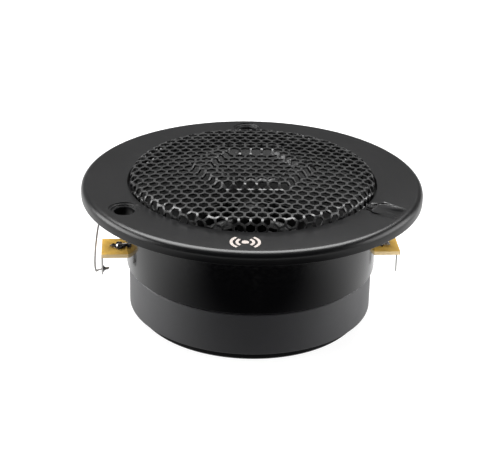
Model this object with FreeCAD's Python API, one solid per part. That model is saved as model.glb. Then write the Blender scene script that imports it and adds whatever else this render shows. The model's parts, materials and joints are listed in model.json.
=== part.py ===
import FreeCAD, Part
import math
import os

# Flush-mount dome tweeter for a car door or dash panel.
# Millimetres. The origin is the centre of the flange's underside, where it meets the
# panel. +Z points out of the grille, and the terminals lie along -X (left) and +X (right).

V = FreeCAD.Vector
UP = V(0, 0, 1)

# Front flange, and the collar bonded under it
FLANGE_D = 100.0
FLANGE_T = 3.75
FLANGE_FLAT_D = 96.0
CROWN_DROP = 2.0
RECESS_D = 72.8
RECESS_FLOOR = 1.2
REBATE = 0.4
RELIEF_R = 48.2
RELIEF_Y = (-7.0, 19.5)
RELIEF_DEPTH = 0.3
COLLAR_D = 73.8
COLLAR_WALL = 2.5
COLLAR_BOTTOM = -21.45
LIP_R = 28.0
LIP_T = 2.2

# Panel screws
SCREW_PCD = 84.6
SCREW_HOLE_D = 5.8
SCREW_ANGLES = (90, 210, 330)
SEAT_D = 8.8
SEAT_STEP = 0.35
SEAT_INNER_D = 7.4
SEAT_DEPTH = 0.75

# Grille
GRILLE_R = 35.7
GRILLE_RISE = 2.75
GRILLE_DOME = 1.48
GRILLE_SHEET = 0.6
GRILLE_BEND = 2.0
MESH_PITCH = 3.25
MESH_WEB = 0.62
MESH_FIELD_R = 32.2
MESH_PHASE = (1.07, -0.52)
MESH_TURN = -2.1

# Magnet system, stacked below the top plate's upper face
PLATE_TOP = -18.6
PLATE_T = 3.5
PLATE_R = 35.0
PLATE_BORE_R = 13.5
FERRITE_R = 36.1
FERRITE_BORE_R = 17.0
FERRITE_T = 12.5
BACK_R = 33.7
BACK_T = 3.0
POLE_R = 11.85
CAP_T = 0.15
PLATE_BOTTOM = PLATE_TOP - PLATE_T
FERRITE_BOTTOM = PLATE_BOTTOM - FERRITE_T
BACK_BOTTOM = FERRITE_BOTTOM - BACK_T

# Diaphragm and voice coil
COIL_R = 12.5
FORMER_WALL = 0.15
WINDING_T = 0.45
WINDING_TOP = -18.75
WINDING_H = 3.2
FORMER_BOTTOM = -23.6
DOME_BASE = -16.45
DOME_RISE = 4.2
DOME_T = 0.25
ROLL_IN = 13.0
ROLL_OUT = 16.0
EDGE_OUT = 17.2

# Diaphragm carrier and waveguide
CARRIER_IN = 15.9
CARRIER_R = 22.0
CARRIER_TOP = -16.8
THROAT_R = 17.0
THROAT_LEDGE = -12.0
THROAT_TOP = -9.5
BASE_TOP = -14.6
EAR_R = 2.9
EAR_PCR = 24.2
MOUTH_R = 33.6
HORN_R = 34.1
MOUTH_TOP = 0.9

# Internal screws
CLAMP_SCREW_R = 1.25
COLLAR_SCREW_R = 1.5
COLLAR_SCREW_PCR = 31.2
COLLAR_SCREW_ANGLES = (45, 135, 225, 315)

# Terminal boards: fibre strips through slots in the collar
BOARD_TURN = 2.0
BOARD_IN = 25.0
BOARD_OUT = 44.3
BOARD_W = 11.0
BOARD_T = 1.2
BOARD_TOP = PLATE_TOP + BOARD_T
SLOT_CLEAR = 0.15
LEAD_NOTCH_W = 1.8
LEAD_NOTCH_H = 1.3
EYELET_U = 39.2
INNER_RIVET_U = 29.0
INNER_RIVET_V = 3.2

# Blade tabs
BLADE_W = 4.8
BLADE_T = 0.5
BLADE_BEND = 0.4
BLADE_ASKEW = -10.5
FOOT_W = 6.4
BLADE_BOTTOM = -25.8
BLADE_IN = 44.0
TAB_HOLE_V = -0.8
TAB_HOLE_Z = -24.3
TAB_HOLE_R = 0.7

# Wires
LEAD_R = 0.4
CAP_WIRE_R = 0.3
COIL_WIRE_R = 0.15

# Series capacitor under the flange
CAPACITOR_R = 4.0
CAPACITOR_L = 12.0
CAPACITOR_X = -42.3
CAPACITOR_Z = -4.6
CAPACITOR_Y = 10.5


def disc(radius, z_low, z_high):
    return Part.makeCylinder(radius, z_high - z_low, V(0, 0, z_low), UP)


def ring(r_out, r_in, z_low, z_high):
    return disc(r_out, z_low, z_high).cut(disc(r_in, z_low - 1, z_high + 1))


def spin(edges):
    """Turn a closed outline of edges in the XZ plane into a solid round Z."""
    face = Part.Face(Part.Wire(edges))
    return face.revolve(V(0, 0, 0), UP, 360)


def outline(points):
    """Edges through (r, z) points; a point with four values is an arc's middle and end."""
    edges = []
    here = V(points[0][0], 0, points[0][1])
    for point in points[1:] + [points[0]]:
        end = V(point[-2], 0, point[-1])
        if len(point) == 4:
            edges.append(Part.Arc(here, V(point[0], 0, point[1]), end).toShape())
        else:
            edges.append(Part.LineSegment(here, end).toShape())
        here = end
    return edges


def turned(shape, degrees):
    copy = shape.copy()
    copy.rotate(V(0, 0, 0), UP, degrees)
    return copy


def around(shape, radius, angles):
    """Copies of a shape modelled at the origin, at one radius and several angles."""
    moved = shape.copy()
    moved.translate(V(radius, 0, 0))
    return [turned(moved, angle) for angle in angles]


def cuboid(u, v, z):
    """A box from three (low, high) ranges."""
    corner = V(u[0], v[0], z[0])
    return Part.makeBox(u[1] - u[0], v[1] - v[0], z[1] - z[0], corner)


def at_side(shape, side):
    """Turn what was modelled along +X to the left or right terminal."""
    return turned(shape, BOARD_TURN + (180 if side == "left" else 0))


def bent_wire(points, radius):
    """A round wire: straight runs joined by the largest tangent arcs the runs allow."""
    pts = [V(*p) for p in points]
    edges = []
    here = pts[0]
    for before, corner, after in zip(pts, pts[1:], pts[2:]):
        run_in = (corner - before).normalize()
        run_out = (after - corner).normalize()
        turn = run_in.getAngle(run_out)
        shorter = min(before.distanceToPoint(corner), corner.distanceToPoint(after))
        trim = 0.45 * shorter
        start = corner - run_in * trim
        end = corner + run_out * trim
        bend_r = trim / math.tan(turn / 2)
        inward = (run_out - run_in).normalize()
        middle = corner + inward * (bend_r / math.cos(turn / 2) - bend_r)
        edges.append(Part.LineSegment(here, start).toShape())
        edges.append(Part.Arc(start, middle, end).toShape())
        here = end
    edges.append(Part.LineSegment(here, pts[-1]).toShape())
    path = Part.Wire(edges)
    section = Part.Wire(Part.makeCircle(radius, pts[0], pts[1] - pts[0]))
    wire = path.makePipeShell([section], True, False)
    expected = math.pi * radius ** 2 * path.Length
    print("wire volume / section x length: %.3f" % (wire.Volume / expected))
    return wire


def front_flange():
    """Round flange with a crowned rim, three screw holes and the grille's recess."""
    rim_r = FLANGE_D / 2
    bore_r = COLLAR_D / 2 - COLLAR_WALL
    flat_r = FLANGE_FLAT_D / 2
    crown_r = rim_r - flat_r
    crown_low = FLANGE_T - CROWN_DROP
    body = spin(outline([
        (RECESS_D / 2, FLANGE_T - 0.3),
        (RECESS_D / 2 + 0.3, FLANGE_T),
        (flat_r, FLANGE_T),
        (flat_r + 0.71 * crown_r, FLANGE_T - 0.29 * CROWN_DROP, rim_r, crown_low),
        (rim_r, 0.25),
        (rim_r - 0.25, 0),
        (COLLAR_D / 2, 0),
        (COLLAR_D / 2, REBATE),
        (bore_r, REBATE),
        (bore_r, RECESS_FLOOR),
        (RECESS_D / 2, RECESS_FLOOR),
    ]))
    relief = ring(RELIEF_R, COLLAR_D / 2, -1, RELIEF_DEPTH)
    sides = cuboid((COLLAR_D / 2 - 4, RELIEF_R), RELIEF_Y, (-1, RELIEF_DEPTH))
    sides = [sides, sides.mirror(V(0, 0, 0), V(1, 0, 0))]
    cuts = around(panel_screw_hole(), SCREW_PCD / 2, SCREW_ANGLES)
    return body.cut(cuts + [relief.common(side) for side in sides])


def collar():
    """Tube between flange and magnet, with an inner lip that sits on the top plate."""
    collar_r = COLLAR_D / 2
    bore_r = collar_r - COLLAR_WALL
    seat_r = PLATE_R + 0.1
    body = spin(outline([
        (collar_r, REBATE),
        (collar_r, COLLAR_BOTTOM + 0.4),
        (collar_r - 0.4, COLLAR_BOTTOM),
        (seat_r, COLLAR_BOTTOM),
        (seat_r, PLATE_TOP),
        (LIP_R, PLATE_TOP),
        (LIP_R, PLATE_TOP + LIP_T),
        (bore_r, PLATE_TOP + LIP_T),
        (bore_r, REBATE),
    ]))
    lip_hole = disc(COLLAR_SCREW_R + 0.1, PLATE_TOP - 1, PLATE_TOP + LIP_T + 1)
    cuts = around(lip_hole, COLLAR_SCREW_PCR, COLLAR_SCREW_ANGLES)
    half = BOARD_W / 2 + SLOT_CLEAR
    slot = cuboid((LIP_R - 2, collar_r + 1), (-half, half), (PLATE_TOP, BOARD_TOP + SLOT_CLEAR))
    lip_gap = cuboid((LIP_R - 2, bore_r - 0.1), (-half, half), (PLATE_TOP, PLATE_TOP + LIP_T + 1))
    notch_half = LEAD_NOTCH_W / 2
    notch_z = (PLATE_TOP, BOARD_TOP + LEAD_NOTCH_H)
    notch = cuboid((LIP_R - 2, collar_r + 1), (-notch_half, notch_half), notch_z)
    for side in ("left", "right"):
        cuts += [at_side(shape, side) for shape in (slot, lip_gap, notch)]
    return body.cut(cuts)


def panel_screw_hole():
    """A clear hole through the flange with a shallow, two-step seat for the screw's head."""
    hole = disc(SCREW_HOLE_D / 2, -1, FLANGE_T + 1)
    seat = disc(SEAT_D / 2, FLANGE_T - SEAT_STEP, FLANGE_T + 1)
    inner = disc(SEAT_INNER_D / 2, FLANGE_T - SEAT_DEPTH, FLANGE_T + 1)
    return hole.fuse([seat, inner])


def hexagon(radius, z):
    corners = [V(radius * math.cos(math.radians(60 * k + 30)),
                 radius * math.sin(math.radians(60 * k + 30)), z) for k in range(7)]
    return Part.makePolygon(corners)


def mesh_centres():
    """Centres of the hexagonal holes, in rows along X, inside the flat field."""
    row_step = MESH_PITCH * math.sqrt(3) / 2
    rows = int(MESH_FIELD_R / row_step) + 1
    columns = int(MESH_FIELD_R / MESH_PITCH) + 1
    for row in range(-rows, rows + 1):
        shift = MESH_PITCH / 2 if row % 2 else 0
        for column in range(-columns - 1, columns + 1):
            x = column * MESH_PITCH + shift + MESH_PHASE[0]
            y = row * row_step + MESH_PHASE[1]
            if math.hypot(x, y) < MESH_FIELD_R:
                yield V(x, y, 0)


def grille():
    """Domed steel sheet with hexagonal holes, its edge turned down into the recess."""
    edge_top = FLANGE_T + GRILLE_RISE
    flat_r = GRILLE_R - GRILLE_BEND
    dome_r = (flat_r ** 2 + GRILLE_DOME ** 2) / (2 * GRILLE_DOME)
    half_drop = dome_r - math.sqrt(dome_r ** 2 - flat_r ** 2 / 4)
    inner_bend = GRILLE_BEND - GRILLE_SHEET
    lean = math.sqrt(0.5)
    bend_z = edge_top - GRILLE_BEND
    top = edge_top + GRILLE_DOME
    low = edge_top - GRILLE_SHEET
    sheet = spin(outline([
        (0, top),
        (flat_r / 2, top - half_drop, flat_r, edge_top),
        (flat_r + lean * GRILLE_BEND, bend_z + lean * GRILLE_BEND, GRILLE_R, bend_z),
        (GRILLE_R, RECESS_FLOOR + 0.02),
        (GRILLE_R - GRILLE_SHEET, RECESS_FLOOR + 0.02),
        (GRILLE_R - GRILLE_SHEET, bend_z),
        (flat_r + lean * inner_bend, bend_z + lean * inner_bend, flat_r, low),
        (flat_r / 2, top - half_drop - GRILLE_SHEET, 0, top - GRILLE_SHEET),
    ]))
    hole_r = (MESH_PITCH - MESH_WEB) / math.sqrt(3)
    prism = Part.Face(hexagon(hole_r, low - 1)).extrude(V(0, 0, GRILLE_DOME + 3))
    punches = []
    for centre in mesh_centres():
        punch = prism.copy()
        punch.translate(centre)
        punches.append(punch)
    return turned(sheet.cut(punches), MESH_TURN)


def flange_print():
    """A plain printed sign on the flange: a dot between two pairs of sound arcs."""
    ink = 0.05
    low = FLANGE_T
    high = FLANGE_T + ink
    half_angle = 52
    pieces = [disc(1.0, low, high)]
    for radius in (2.25, 3.8):
        band = ring(radius + 0.4, radius - 0.4, low, high)
        wedge_reach = 8
        y = wedge_reach * math.tan(math.radians(half_angle))
        for side in (-1, 1):
            wedge = Part.makePolygon([V(0, 0, low), V(side * wedge_reach, -y, low),
                                      V(side * wedge_reach, y, low), V(0, 0, low)])
            pieces.append(band.common(Part.Face(wedge).extrude(V(0, 0, ink))))
    sign = Part.makeCompound(pieces)
    sign.translate(V(-3.5, -42.9, 0))
    return sign


def waveguide():
    """Short flared horn that clamps the diaphragm carrier onto the top plate."""
    body = spin(outline([
        (17.5, CARRIER_TOP),
        (CARRIER_R + 0.5, CARRIER_TOP),
        (CARRIER_R + 0.5, BASE_TOP),
        (19.4, BASE_TOP),
        (19.4, -11.0),
        (24.3, -5.9, 32.6, -1.7),
        (HORN_R, -1.7),
        (HORN_R, MOUTH_TOP),
        (MOUTH_R, MOUTH_TOP),
        (22.7, -3.9, THROAT_R, THROAT_TOP),
        (THROAT_R, THROAT_LEDGE),
        (16.3, THROAT_LEDGE),
        (16.3, -16.0),
        (17.5, -16.0),
    ]))
    ears = around(disc(EAR_R, PLATE_TOP, BASE_TOP), EAR_PCR, SCREW_ANGLES)
    holes = around(disc(CLAMP_SCREW_R + 0.15, -20, -10), EAR_PCR, SCREW_ANGLES)
    ears = [ear.cut(disc(CARRIER_R + 0.1, PLATE_TOP - 1, CARRIER_TOP)) for ear in ears]
    return body.fuse(ears).cut(holes)


def phase_plug():
    """Bullet over the dome, on three arms from a ring in the throat."""
    bullet = spin(outline([
        (0, -3.2),
        (3.6, -4.6, 5.4, -7.6),
        (5.8, -10.8),
        (2.9, -11.1, 0, -11.2),
    ]))
    hoop = ring(THROAT_R - 0.05, THROAT_R - 0.9, THROAT_LEDGE, -9.9)
    arm = cuboid((4.0, THROAT_R - 0.4), (-0.8, 0.8), (-11.0, -9.9))
    arms = [turned(arm, angle) for angle in (90, 210, 330)]
    return bullet.fuse([hoop] + arms)


def diaphragm_carrier():
    """Plastic ring that carries the surround; grooves hold the two coil tags."""
    body = ring(CARRIER_R, CARRIER_IN, PLATE_TOP, CARRIER_TOP)
    groove = cuboid((CARRIER_IN - 1, CARRIER_R + 1), (-1.3, 1.3), (-18.0, CARRIER_TOP + 1))
    return body.cut([at_side(groove, side) for side in ("left", "right")])


def surround():
    """Half-roll edge between the dome and the carrier."""
    t = 0.25
    low = CARRIER_TOP
    mid = (ROLL_IN + ROLL_OUT) / 2
    roll = (ROLL_OUT - ROLL_IN) / 2
    return spin(outline([
        (COIL_R + 0.06, low),
        (ROLL_IN, low),
        (mid, low + roll - t, ROLL_OUT, low),
        (EDGE_OUT, low),
        (EDGE_OUT, low + t),
        (ROLL_OUT + t, low + t),
        (mid, low + roll + t, ROLL_IN - t, low + t),
        (COIL_R + 0.06, low + t),
    ]))


def dome_diaphragm():
    """Thin spherical dome with a flat glue land for the former."""
    sphere_r = (COIL_R ** 2 + DOME_RISE ** 2) / (2 * DOME_RISE)
    centre_z = DOME_BASE + DOME_RISE - sphere_r
    shell = Part.makeSphere(sphere_r, V(0, 0, centre_z))
    shell = shell.cut(Part.makeSphere(sphere_r - DOME_T, V(0, 0, centre_z)))
    cap = shell.common(disc(COIL_R + 1, DOME_BASE, DOME_BASE + DOME_RISE + 1))
    land = ring(COIL_R, COIL_R - 0.55, DOME_BASE, DOME_BASE + DOME_T)
    return cap.fuse(land).common(disc(COIL_R, DOME_BASE, 0))


def voice_coil_former():
    return ring(COIL_R, COIL_R - FORMER_WALL, FORMER_BOTTOM, DOME_BASE)


def voice_coil_winding():
    return ring(COIL_R + WINDING_T, COIL_R, WINDING_TOP - WINDING_H, WINDING_TOP)


def coil_lead(side):
    """Fine wire from the winding, under the surround, to the coil tag."""
    v = 0.6
    route = [(COIL_R + 0.3, v, WINDING_TOP + 0.12), (COIL_R + 0.9, v, -17.7),
             (16.4, v, -17.2), (18.4, v, -17.45)]
    return at_side(bent_wire(route, COIL_WIRE_R), side)


def carrier_tag(side):
    """Brass strip in the carrier's groove, between coil lead and lead-out wire."""
    strip = cuboid((17.7, 24.3), (-1.0, 1.0), (-18.0, -17.6))
    return at_side(strip, side)


def top_plate():
    body = disc(PLATE_R, PLATE_BOTTOM, PLATE_TOP)
    body = body.makeChamfer(0.3, body.Edges)
    low = PLATE_BOTTOM - 1
    high = PLATE_TOP + 1
    cuts = [disc(PLATE_BORE_R, low, high)]
    cuts += around(disc(CLAMP_SCREW_R + 0.02, low, high), EAR_PCR, SCREW_ANGLES)
    cuts += around(disc(COLLAR_SCREW_R + 0.02, low, high), COLLAR_SCREW_PCR, COLLAR_SCREW_ANGLES)
    blind = disc(1.22, PLATE_TOP - 2.1, high)
    blind.translate(V(INNER_RIVET_U, INNER_RIVET_V, 0))
    cuts += [at_side(blind, side) for side in ("left", "right")]
    return body.cut(cuts)


def ferrite_magnet():
    body = disc(FERRITE_R, FERRITE_BOTTOM, PLATE_BOTTOM)
    body = body.makeChamfer(0.5, body.Edges)
    return body.cut(disc(FERRITE_BORE_R, FERRITE_BOTTOM - 1, PLATE_BOTTOM + 1))


def yoke():
    """Back plate and centre pole in one turned piece."""
    return spin(outline([
        (0, BACK_BOTTOM),
        (BACK_R - 0.6, BACK_BOTTOM),
        (BACK_R, BACK_BOTTOM + 0.6),
        (BACK_R, FERRITE_BOTTOM),
        (POLE_R, FERRITE_BOTTOM),
        (POLE_R, PLATE_TOP),
        (0, PLATE_TOP),
    ]))


def copper_cap():
    """Thin shorting cap pressed over the top of the pole."""
    cup = disc(POLE_R + CAP_T, PLATE_BOTTOM, PLATE_TOP + CAP_T)
    return cup.cut(disc(POLE_R + 0.005, PLATE_BOTTOM - 1, PLATE_TOP))


def damping_felt():
    felt = disc(8.5, PLATE_TOP + CAP_T, -16.6)
    return felt.makeFillet(0.5, [felt.Edges[0]])


def pan_screw(shank_r, head_r, head_h, seat_z, tip_z):
    """Pan-head screw with a cross recess, its head sitting at seat_z."""
    head = disc(head_r, seat_z, seat_z + head_h)
    top_edge = [e for e in head.Edges if abs(e.CenterOfMass.z - seat_z - head_h) < 0.01]
    head = head.makeFillet(0.45 * head_h, top_edge[:1])
    slot_len = 0.55 * head_r
    slot_w = 0.14 * head_r
    slot_z = (seat_z + 0.45 * head_h, seat_z + head_h + 1)
    recess = cuboid((-slot_len, slot_len), (-slot_w, slot_w), slot_z)
    cross = [recess, turned(recess, 90)]
    return head.fuse(disc(shank_r, tip_z, seat_z)).cut(cross)


def waveguide_screws():
    screw = pan_screw(CLAMP_SCREW_R, 2.3, 1.5, BASE_TOP, -21.6)
    return Part.makeCompound(around(screw, EAR_PCR, SCREW_ANGLES))


def collar_screws():
    screw = pan_screw(COLLAR_SCREW_R, 2.8, 1.8, PLATE_TOP + LIP_T, -21.9)
    return Part.makeCompound(around(screw, COLLAR_SCREW_PCR, COLLAR_SCREW_ANGLES))


def terminal_board(side):
    """Fibre strip on the top plate, riveted at its inner end."""
    half = BOARD_W / 2
    body = cuboid((BOARD_IN, BOARD_OUT), (-half, half), (PLATE_TOP, BOARD_TOP))
    eyelet_hole = disc(1.52, PLATE_TOP - 1, BOARD_TOP + 1)
    eyelet_hole.translate(V(EYELET_U, 0, 0))
    rivet_hole = disc(1.22, PLATE_TOP - 1, BOARD_TOP + 1)
    rivet_hole.translate(V(INNER_RIVET_U, INNER_RIVET_V, 0))
    cuts = [eyelet_hole, rivet_hole]
    if side == "left":
        pin_hole = disc(0.62, PLATE_TOP - 1, BOARD_TOP + 1)
        pin_hole.translate(V(42.8, 0, 0))
        cuts.append(pin_hole)
    return at_side(body.cut(cuts), side)


def board_rivets():
    """One rivet through each board into the top plate."""
    shank = disc(1.2, PLATE_TOP - 2, BOARD_TOP)
    head = disc(2.0, BOARD_TOP, BOARD_TOP + 0.6)
    rivet = shank.fuse(head)
    rivet.translate(V(INNER_RIVET_U, INNER_RIVET_V, 0))
    return Part.makeCompound([at_side(rivet, side) for side in ("left", "right")])


def blade_tab(side):
    """Push-on blade bent down at the board's end, with a wire hole and a foot."""
    half = BLADE_W / 2
    foot_in = 41.9 if side == "left" else 37.4
    foot_z = (PLATE_TOP - BLADE_T, PLATE_TOP - 0.02)
    foot = cuboid((foot_in, BLADE_IN + BLADE_T), (-half, half), foot_z)
    pad = cuboid((foot_in, BLADE_IN - 1), (-FOOT_W / 2, FOOT_W / 2), foot_z)
    blade = cuboid((BLADE_IN, BLADE_IN + BLADE_T), (-half, half), (BLADE_BOTTOM, PLATE_TOP - 0.02))
    tip = [e for e in blade.Edges
           if abs(e.CenterOfMass.z - BLADE_BOTTOM) < 0.01 and abs(e.CenterOfMass.y) > half - 0.1]
    blade = blade.makeChamfer(0.5, tip)
    body = foot.fuse([blade, pad]).removeSplitter()
    bend = [e for e in body.Edges if abs(e.CenterOfMass.x - BLADE_IN - BLADE_T) < 0.01
            and abs(e.CenterOfMass.z - PLATE_TOP + 0.02) < 0.01]
    body = body.makeFillet(BLADE_BEND, bend)
    if side == "right":
        body.rotate(V(BLADE_IN, 0, 0), UP, BLADE_ASKEW)
    wire_hole = Part.makeCylinder(TAB_HOLE_R, 4, V(BLADE_IN - 1, TAB_HOLE_V * hole_side(side),
                                                   TAB_HOLE_Z), V(1, 0, 0))
    eyelet_hole = disc(1.52, PLATE_TOP - 2, PLATE_TOP + 1)
    eyelet_hole.translate(V(EYELET_U, 0, 0))
    pin_hole = disc(0.62, PLATE_TOP - 2, PLATE_TOP + 1)
    pin_hole.translate(V(42.8, 0, 0))
    return at_side(body.cut([wire_hole, pin_hole if side == "left" else eyelet_hole]), side)


def hole_side(side):
    """A shape turned to the left has its +Y side at the back, so the sign changes."""
    return -1 if side == "left" else 1


def blade_pin_left():
    """Small pin that fixes the left blade's foot to its board from below."""
    pin = disc(0.6, PLATE_TOP - BLADE_T, BOARD_TOP - 0.3)
    flange = disc(0.95, PLATE_TOP - BLADE_T - 0.35, PLATE_TOP - BLADE_T)
    body = pin.fuse(flange)
    body.translate(V(42.8, 0, 0))
    return at_side(body, "left")


def eyelet(side):
    """Tubular eyelet whose split top is opened into four petals."""
    foot = PLATE_TOP if side == "left" else PLATE_TOP - BLADE_T
    petal_t = 0.35
    corners = []
    for k in range(9):
        radius = 2.7 if k % 2 == 0 else 1.75
        angle = math.radians(45 * k)
        corners.append(V(radius * math.cos(angle), radius * math.sin(angle), BOARD_TOP))
    star = Part.Face(Part.makePolygon(corners)).extrude(V(0, 0, petal_t))
    tube = disc(1.5, foot, BOARD_TOP)
    flange = disc(2.2, foot - 0.4, foot)
    body = tube.fuse([flange, star]).cut(disc(1.05, foot - 1, BOARD_TOP + 1))
    body.translate(V(EYELET_U, 0, 0))
    return at_side(body, side)


def eyelet_solder(side):
    """Solder that fills the eyelet and holds the lead-out wire."""
    foot = PLATE_TOP - 0.4 if side == "left" else PLATE_TOP - BLADE_T - 0.4
    top = BOARD_TOP + 0.35
    fill = disc(1.03, foot + 0.5, top)
    bead_r = 1.25 if side == "left" else 1.7
    bead = Part.makeSphere(bead_r, V(0, 0, 0))
    bead = bead.common(cuboid((-3, 3), (-3, 3), (0, 3)))
    bead.translate(V(0, 0, top))
    body = fill.fuse(bead)
    body.translate(V(EYELET_U, 0, 0))
    return at_side(body, side)


def lead_wire(side):
    """Braided lead-out wire from the coil tag, through the notch, to the eyelet."""
    end_u = EYELET_U - (1.35 if side == "left" else 1.8)
    over = BOARD_TOP + 0.82
    route = [(23.3, 0, -17.18), (25.6, 0, over + 0.1), (30.0, 0, over - 0.15),
             (34.2, 0, over), (end_u, 0, over - 0.05)]
    return at_side(bent_wire(route, LEAD_R), side)


def series_capacitor():
    """Sleeved can lying along Y under the flange, beside the collar."""
    low = CAPACITOR_Y - CAPACITOR_L / 2
    can = Part.makeCylinder(CAPACITOR_R, CAPACITOR_L, V(CAPACITOR_X, low, CAPACITOR_Z), V(0, 1, 0))
    can = can.makeFillet(0.7, [e for e in can.Edges if e.Closed])
    groove = Part.makeTorus(CAPACITOR_R + 0.2, 0.55, V(CAPACITOR_X, low + 2.2, CAPACITOR_Z),
                            V(0, 1, 0))
    return can.cut(groove)


def capacitor_lead_front():
    """Bare wire from the capacitor's front end down and through the left blade's hole."""
    start_y = CAPACITOR_Y - CAPACITOR_L / 2 - 0.02
    z = TAB_HOLE_Z
    route = [(CAPACITOR_X - 1.6, start_y, CAPACITOR_Z), (CAPACITOR_X - 1.6, 2.6, CAPACITOR_Z),
             (-45.2, 0.6, -10.4), (-46.1, -0.9, -16.6),
             (-46.5, -2.1, -22.6), (-46.1, -2.35, z - 1.1), (-45.3, -2.35, z - 0.05),
             (-42.1, -2.25, z + 0.3)]
    return bent_wire(route, CAP_WIRE_R)


def capacitor_lead_rear():
    """Bare wire from the capacitor's rear end, behind the board, to the left eyelet."""
    start_y = CAPACITOR_Y + CAPACITOR_L / 2 + 0.02
    route = [(CAPACITOR_X + 1.2, start_y, CAPACITOR_Z), (CAPACITOR_X + 1.2, 18.6, CAPACITOR_Z),
             (-39.2, 17.6, -11.0),
             (-37.8, 12.4, -17.2), (-38.0, 7.4, -20.6), (-38.7, 2.4, -20.9),
             (-39.15, -1.0, -19.35)]
    return bent_wire(route, CAP_WIRE_R)


def blade_solder_left():
    """Cone of solder round the wire on the inner face of the left blade."""
    base = V(BLADE_IN, 0, 0)
    cone = Part.makeCone(1.15, CAP_WIRE_R + 0.08, 1.3, base, V(-1, 0, 0))
    core = Part.makeCylinder(CAP_WIRE_R + 0.02, 4, V(BLADE_IN - 2, 0, 0), V(1, 0, 0))
    body = cone.cut(core)
    body.translate(V(0, -TAB_HOLE_V, TAB_HOLE_Z + 0.03))
    return at_side(body, "left").cut(capacitor_lead_front())


def capacitor_adhesive():
    """Bead of adhesive between the capacitor, the collar and the flange."""
    low = CAPACITOR_Y - 4.0
    block = cuboid((CAPACITOR_X - 1.5, -34.0), (low, low + 8.0), (CAPACITOR_Z - 2.6, -0.02))
    collar = disc(COLLAR_D / 2 + 0.02, -20, 5)
    can = Part.makeCylinder(CAPACITOR_R + 0.02, 30, V(CAPACITOR_X, -5, CAPACITOR_Z), V(0, 1, 0))
    body = block.cut([collar, can])
    solids = sorted(body.Solids, key=lambda solid: solid.Volume)
    return solids[-1]


def main():
    os.makedirs("parts", exist_ok=True)
    single = (front_flange, collar, grille, flange_print, waveguide, phase_plug, diaphragm_carrier, surround,
              dome_diaphragm, voice_coil_former, voice_coil_winding, top_plate, ferrite_magnet,
              yoke, copper_cap, damping_felt, waveguide_screws, collar_screws, board_rivets,
              blade_pin_left, series_capacitor, capacitor_lead_front, capacitor_lead_rear,
              blade_solder_left, capacitor_adhesive)
    paired = (coil_lead, carrier_tag, terminal_board, blade_tab, eyelet, eyelet_solder, lead_wire)
    for make in single:
        make().exportStep("parts/%s.step" % make.__name__)
    for make in paired:
        for side in ("left", "right"):
            make(side).exportStep("parts/%s_%s.step" % (make.__name__, side))


main()
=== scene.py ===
import math

import bmesh
import bpy
from mathutils import Matrix, Vector
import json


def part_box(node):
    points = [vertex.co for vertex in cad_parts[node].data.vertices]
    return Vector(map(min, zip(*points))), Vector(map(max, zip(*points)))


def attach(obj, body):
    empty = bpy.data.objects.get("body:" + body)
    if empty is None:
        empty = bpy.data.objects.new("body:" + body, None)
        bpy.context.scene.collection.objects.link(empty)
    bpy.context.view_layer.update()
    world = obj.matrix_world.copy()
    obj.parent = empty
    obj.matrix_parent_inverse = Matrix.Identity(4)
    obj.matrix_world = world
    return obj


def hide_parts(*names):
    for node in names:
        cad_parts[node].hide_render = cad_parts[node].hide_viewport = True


# Flush-mount car tweeter: looks and fine shapes around the CAD frame. Blender works in
# metres; sizes below are in millimetres and are multiplied by MM where they are used.

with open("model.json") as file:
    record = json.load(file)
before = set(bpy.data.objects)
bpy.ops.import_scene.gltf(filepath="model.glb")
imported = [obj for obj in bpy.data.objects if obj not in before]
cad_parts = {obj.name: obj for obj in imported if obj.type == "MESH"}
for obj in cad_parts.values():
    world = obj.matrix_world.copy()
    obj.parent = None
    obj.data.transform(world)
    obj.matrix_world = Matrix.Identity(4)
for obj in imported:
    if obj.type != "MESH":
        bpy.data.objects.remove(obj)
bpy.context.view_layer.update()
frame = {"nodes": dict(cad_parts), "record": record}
MM = 0.001

RIM_STEPS = 192
SMALL_STEPS = 48
BOARD_TURN = math.radians(2.0)
MESH_TURN = math.radians(-2.1)
SCREW_ANGLES = (90, 210, 330)

FLANGE_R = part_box("front_flange")[1].x / MM
FLANGE_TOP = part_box("front_flange")[1].z / MM
COLLAR_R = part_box("collar")[1].x / MM
COLLAR_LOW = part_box("collar")[0].z / MM
GRILLE_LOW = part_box("grille")[0].z / MM
GRILLE_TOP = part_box("grille")[1].z / MM
PLATE_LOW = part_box("top_plate")[0].z / MM
PLATE_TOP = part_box("top_plate")[1].z / MM
PLATE_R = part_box("top_plate")[1].x / MM
FERRITE_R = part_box("ferrite_magnet")[1].x / MM
FERRITE_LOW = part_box("ferrite_magnet")[0].z / MM
YOKE_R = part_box("yoke")[1].x / MM
YOKE_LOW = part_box("yoke")[0].z / MM
BOARD_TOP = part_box("terminal_board_left")[1].z / MM
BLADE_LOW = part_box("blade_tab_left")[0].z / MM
BLADE_IN = 44.0
BLADE_ASKEW = math.radians(-10.5)
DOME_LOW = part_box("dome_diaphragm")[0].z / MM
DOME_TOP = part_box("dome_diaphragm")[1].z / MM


# ---------------------------------------------------------------- modelling by hand

def let_go():
    """Leave edit mode and deselect everything."""
    if bpy.context.object and bpy.context.object.mode == "EDIT":
        bpy.ops.object.mode_set(mode="OBJECT")
    bpy.ops.object.select_all(action="DESELECT")


def take(piece):
    let_go()
    piece.select_set(True)
    bpy.context.view_layer.objects.active = piece
    return piece


def named(name):
    piece = bpy.context.object
    piece.name = name
    piece.data.name = name
    return piece


def open_mesh(piece, mode="VERT"):
    take(piece)
    bpy.ops.object.mode_set(mode="EDIT")
    bpy.ops.mesh.select_mode(type=mode)
    bpy.ops.mesh.select_all(action="DESELECT")


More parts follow.
